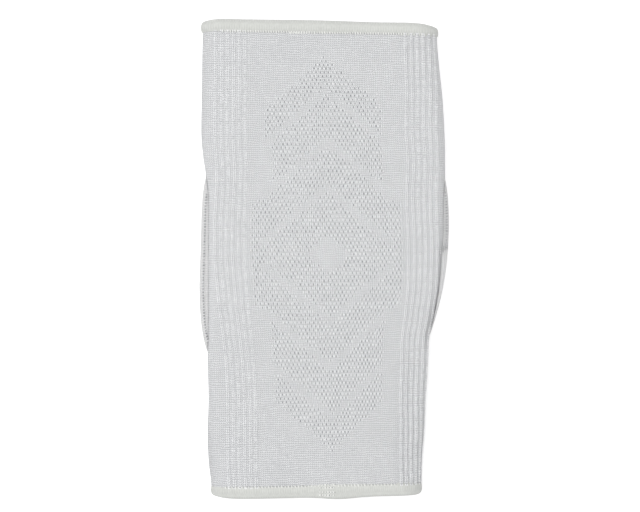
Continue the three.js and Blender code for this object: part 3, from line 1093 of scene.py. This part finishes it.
OVER_REACHES = (
    0.995, 0.988, 0.980, 0.972, 0.966, 0.962, 0.958, 0.954, 0.950, 0.946, 0.942, 0.938, 0.934, 0.930, 0.925,
    0.92, 0.89, 0.84, 0.74, 0.60, 0.46, 0.34, 0.22, 0.10,
)
FILLING_PRESSURE = 4.0
FILLING_FRAMES = 20
MOST_SWELL = 0.002
COVER_WHITE = (0.785, 0.787, 0.787, 1.0)
COVER_SHADE = (0.68, 0.682, 0.683, 1.0)
COVER_LOOPS_IN_A_METRE = 830
COVER_LOOP_RELIEF = 0.0002
COVER_GAP_PAINTED_SHADE = 0.4

# On the right, below the middle, the cover's edge rolls over on itself for about 50 mm.
Roll = namedtuple("Roll", "along from_rim lift")
ROLLED_EDGE = [
    Roll(-0.048, 0.0004, 0.0),
    Roll(-0.040, 0.0007, 0.0012),
    Roll(-0.022, 0.0010, 0.0018),
    Roll(-0.008, 0.0016, 0.0021),
    Roll(0.001, 0.0023, 0.0017),
    Roll(0.0045, 0.0030, 0.0),
]
ROLL_HALF_WIDTH = 0.0010


def pad_cup(x, y):
    """The sleeve's underside over the pad: its height, its fold's height and width, and the way past it."""
    section = section_at(y)
    middle = (section.left + section.right) / 2
    half_width = (section.right - section.left) / 2
    section = section_at(y - lean_at(y, x - middle, half_width))
    fold = section.fold + PAD_SEAT
    half_height = (section.over - section.under) / 2 + PAD_SEAT
    past = abs(x - (section.left + section.right) / 2) - ((section.right - section.left) / 2 - section.fold)
    share = min(max(past / fold, 0.0), 1.0)
    rise = half_height * (1 - math.sqrt(1 - share * share))
    middle_height = (section.over + section.under) / 2
    return middle_height + min(rise, PAD_CUP) - half_height, middle_height, fold, past - fold


def pad_top(x, y):
    """The height of the pad's upper side: cupped to the sleeve that lies on it, then sloping to the rim."""
    cup, middle_height, fold, outside = pad_cup(x, y)
    slope = (LEFT_STRIP_SLOPE if x < 0 else RIGHT_STRIP_SLOPE) * max(outside, 0.0)
    step = min(max(1.0 + (outside + STRIP_OVERLAP) / (STRIP_STEP * fold), 0.0), 1.0)
    top = cup + (middle_height + STRIP_RISE - slope - cup) * step
    if x > 0 and ROLLED_EDGE[0].along < y < ROLLED_EDGE[-1].along:
        crest = value_at(PAD_SIDES, "right", y) - value_at(ROLLED_EDGE, "from_rim", y)
        top += value_at(ROLLED_EDGE, "lift", y) * math.exp(-(((x - crest) / ROLL_HALF_WIDTH) ** 2))
    return top


def pad_outline():
    """The pad's outline in plan, as points at even steps along it."""
    dense = []
    for i in range(OUTLINE_SAMPLES + 1):
        angle = 2 * math.pi * i / OUTLINE_SAMPLES
        y = PAD_HALF_LENGTH * lobe(math.sin(angle), PAD_SQUARENESS)
        side = lobe(math.cos(angle), PAD_SQUARENESS)
        dense.append((abs(side) * value_at(PAD_SIDES, "left" if side < 0 else "right", y), y))
    dense = np.array(dense)
    gone = np.concatenate([[0.0], np.cumsum(np.linalg.norm(np.diff(dense, axis=0), axis=1))])
    stops = np.arange(PAD_COLUMNS) / PAD_COLUMNS * gone[-1]
    return np.column_stack([np.interp(stops, gone, dense[:, 0]), np.interp(stops, gone, dense[:, 1])])


pad_edge = pad_outline()
pad_points = []
for reach in UNDER_REACHES:
    thick = PAD_THICK * value_at(PAD_PROFILE, "thick", reach)
    for x, y in reach * pad_edge:
        under_fold = pad_cup(x, y)[0] - COVER_WRAP
        pad_points.append((x, y, max(0.0, min(pad_top(x, y) - thick, under_fold))))
rim_start = len(pad_points)
pad_points += [(x, y, pad_top(x, y) - PAD_EDGE / 2) for x, y in pad_edge]
for reach in OVER_REACHES:
    rounding = RIM_ROUNDING * max(0.0, (reach - ROUNDED_FROM) / ROUNDED_SPAN) ** 2
    pad_points += [(x, y, pad_top(x, y) - rounding) for x, y in reach * pad_edge]
pad_rings = len(UNDER_REACHES) + 1 + len(OVER_REACHES)
pad_faces = skin_faces(pad_rings, PAD_COLUMNS)[: (pad_rings - 1) * PAD_COLUMNS]
under_middle = len(pad_points)
pad_points += [(0.0, 0.0, 0.0), (0.0, 0.0, pad_top(0.0, 0.0))]
last_ring = (pad_rings - 1) * PAD_COLUMNS
for i in range(PAD_COLUMNS):
    pad_faces.append(((i + 1) % PAD_COLUMNS, i, under_middle))
    pad_faces.append((last_ring + i, last_ring + (i + 1) % PAD_COLUMNS, under_middle + 1))
foam_pad = mesh_object("foam_pad", pad_points, pad_faces)
pad_rest = np.array(pad_points)

# The foam fills the cover out by the pressure of a cloth simulation, with the rim and the upper side held.
sewn_rim = foam_pad.vertex_groups.new(name="sewn_rim")
sewn_rim.add(list(range(rim_start, under_middle)) + [under_middle + 1], 1.0, "REPLACE")
filling = foam_pad.modifiers.new("filling", "CLOTH")
filling.settings.use_pressure = True
filling.settings.uniform_pressure_force = FILLING_PRESSURE
filling.settings.vertex_group_mass = "sewn_rim"
filling.settings.effector_weights.gravity = 0.0
filling.point_cache.frame_start = 1
filling.point_cache.frame_end = FILLING_FRAMES
for step in range(1, FILLING_FRAMES + 1):
    scene.frame_set(step)
swollen = foam_pad.evaluated_get(bpy.context.evaluated_depsgraph_get()).data
pad_full = np.empty(len(pad_points) * 3)
swollen.vertices.foreach_get("co", pad_full)
pad_move = pad_full.reshape(-1, 3) - pad_rest
pad_length = np.linalg.norm(pad_move, axis=1, keepdims=True)
pad_move *= np.minimum(1.0, MOST_SWELL / np.maximum(pad_length, 1e-9))
pad_full = pad_rest + pad_move
pad_full[:, 2] = np.maximum(pad_full[:, 2], 0.0)
foam_pad.modifiers.remove(filling)
foam_pad.vertex_groups.remove(sewn_rim)
scene.frame_set(1)
foam_pad.data.vertices.foreach_set("co", pad_full.ravel())
foam_pad.data.update()
foam_pad.data.shade_smooth()
# Painted shade on the pad's strips: even on the left, and on the right where the strip lies in the sleeve's
# shade.
strip_painted_shade = np.zeros(len(pad_full))
for point in range(rim_start + PAD_COLUMNS, under_middle):
    x, y, _ = pad_full[point]
    strip_painted_shade[point] = LEFT_STRIP_PAINTED_SHADE if x < 0 else value_at(PAD_SIDES, "right_shade", y)
strip_shade_marks = foam_pad.data.attributes.new("fold", "FLOAT", "POINT")
strip_shade_marks.data.foreach_set("value", strip_painted_shade)

cover_knit = knit_material(
    "cover_knit", COVER_WHITE, COVER_SHADE, wales=COVER_LOOPS_IN_A_METRE, courses=COVER_LOOPS_IN_A_METRE,
    relief=COVER_LOOP_RELIEF, gap_painted_shade=COVER_GAP_PAINTED_SHADE, coordinates="Object",
)
foam_pad.data.materials.append(cover_knit)
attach(foam_pad, "root")
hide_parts("knee_pad")


def upper_surface(x, y):
    """The height of what lies uppermost at the side: the sleeve's fold, or the pad's strip outside it."""
    section = section_at(y)
    past = abs(x - (section.left + section.right) / 2) - ((section.right - section.left) / 2 - section.fold)
    share = max(past / section.fold, 0.0)
    if share >= 1.0:
        return pad_top(x, y)
    half_height = (section.over - section.under) / 2
    fold_top = (section.over + section.under) / 2 + half_height * math.sqrt(1 - share * share)
    return max(pad_top(x, y), fold_top)


def surface_facing(places):
    """Which way that surface faces at its points."""
    step = 0.0004
    facings = []
    for x, y, _ in places:
        slope_x = (upper_surface(x + step, y) - upper_surface(x - step, y)) / (2 * step)
        slope_y = (upper_surface(x, y + step) - upper_surface(x, y - step)) / (2 * step)
        facings.append(Vector((-slope_x, -slope_y, 1.0)).normalized())
    return np.array(facings)


# The strip is stitched down along both sides, each stitch a short bar of thread beside its needle hole.
# On the right, where the rolled edge begins, a few tacking stitches gather the cover.
RIM_PITCH = 0.00165
RIM_YARN = 0.00025
RIM_HALF = 0.0007
RIM_SLANT = 0.0002
RIM_ARCH = 0.0002
RIM_HOLE = 0.00045
RIM_HOLE_RISE = 0.0001
RIM_PROUD = 0.0002
RIM_WHITE = (0.84, 0.844, 0.85, 1.0)
RIM_SHADE = (0.68, 0.684, 0.69, 1.0)
RimLine = namedtuple("RimLine", "side inset start end")
RIM_LINES = (RimLine(-1, 0.0023, -0.046, 0.037), RimLine(1, 0.0013, 0.007, 0.037))
rim_paths = []
for line in RIM_LINES:
    in_stretch = (pad_edge[:, 1] > line.start) & (pad_edge[:, 1] < line.end)
    beside = pad_edge[in_stretch & (pad_edge[:, 0] * line.side > 0)]
    rim_plan = beside[np.argsort(beside[:, 1])] - np.array((line.side * line.inset, 0.0))
    rim_points = np.array([(x, y, upper_surface(x, y) + RIM_PROUD) for x, y in rim_plan])
    rim_paths.append((rim_points, surface_facing(rim_points)))
rim_leg = yarn_leg((-RIM_HALF, -RIM_SLANT, 0), (RIM_HALF, RIM_SLANT, 0), RIM_YARN, RIM_ARCH)
rim_hole = hole_disc(0.0, RIM_PITCH / 2, RIM_HOLE_RISE, RIM_HOLE)
rim_stitch = stitch_object("rim_stitch", [rim_leg], [rim_hole])
rim_yarn = yarn_material("rim_yarn", RIM_WHITE, RIM_SHADE)
rim_seam = sewn(
    "rim_seam", rim_paths, rim_stitch, spacing=RIM_PITCH, unevenness=0.12, seed=17, yarn=rim_yarn
)
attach(rim_seam, "root")

GATHER_START = (0.0652, 0.0035)
GATHER_END = (0.0684, 0.0060)
GATHER_ROWS = 3
GATHER_ROW_PITCH = 0.0013
GATHER_POINTS = 12
GATHER_PITCH = 0.0014
GATHER_HALF = 0.0005
GATHER_YARN = 0.0004
GATHER_ARCH = 0.0002
GATHER_HOLE = 0.0005
GATHER_HOLE_RISE = 0.00012
GATHER_PROUD = 0.0006
gather_paths = []
for row in range(GATHER_ROWS):
    plan_x = np.linspace(GATHER_START[0], GATHER_END[0], GATHER_POINTS)
    plan_y = np.linspace(GATHER_START[1], GATHER_END[1], GATHER_POINTS) + row * GATHER_ROW_PITCH
    gather_points = np.array([(x, y, upper_surface(x, y) + GATHER_PROUD) for x, y in zip(plan_x, plan_y)])
    gather_paths.append((gather_points, np.tile((0.0, 0.0, 1.0), (GATHER_POINTS, 1))))
gather_leg = yarn_leg((-GATHER_HALF, 0, 0), (GATHER_HALF, 0, 0), GATHER_YARN, GATHER_ARCH)
gather_hole = hole_disc(0.0, GATHER_PITCH / 2, GATHER_HOLE_RISE, GATHER_HOLE)
gather_stitch = stitch_object("gather_stitch", [gather_leg], [gather_hole])
gather_tack = sewn(
    "gather_tack", gather_paths, gather_stitch,
    spacing=GATHER_PITCH, unevenness=0.15, seed=19, yarn=rim_yarn,
)
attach(gather_tack, "root")
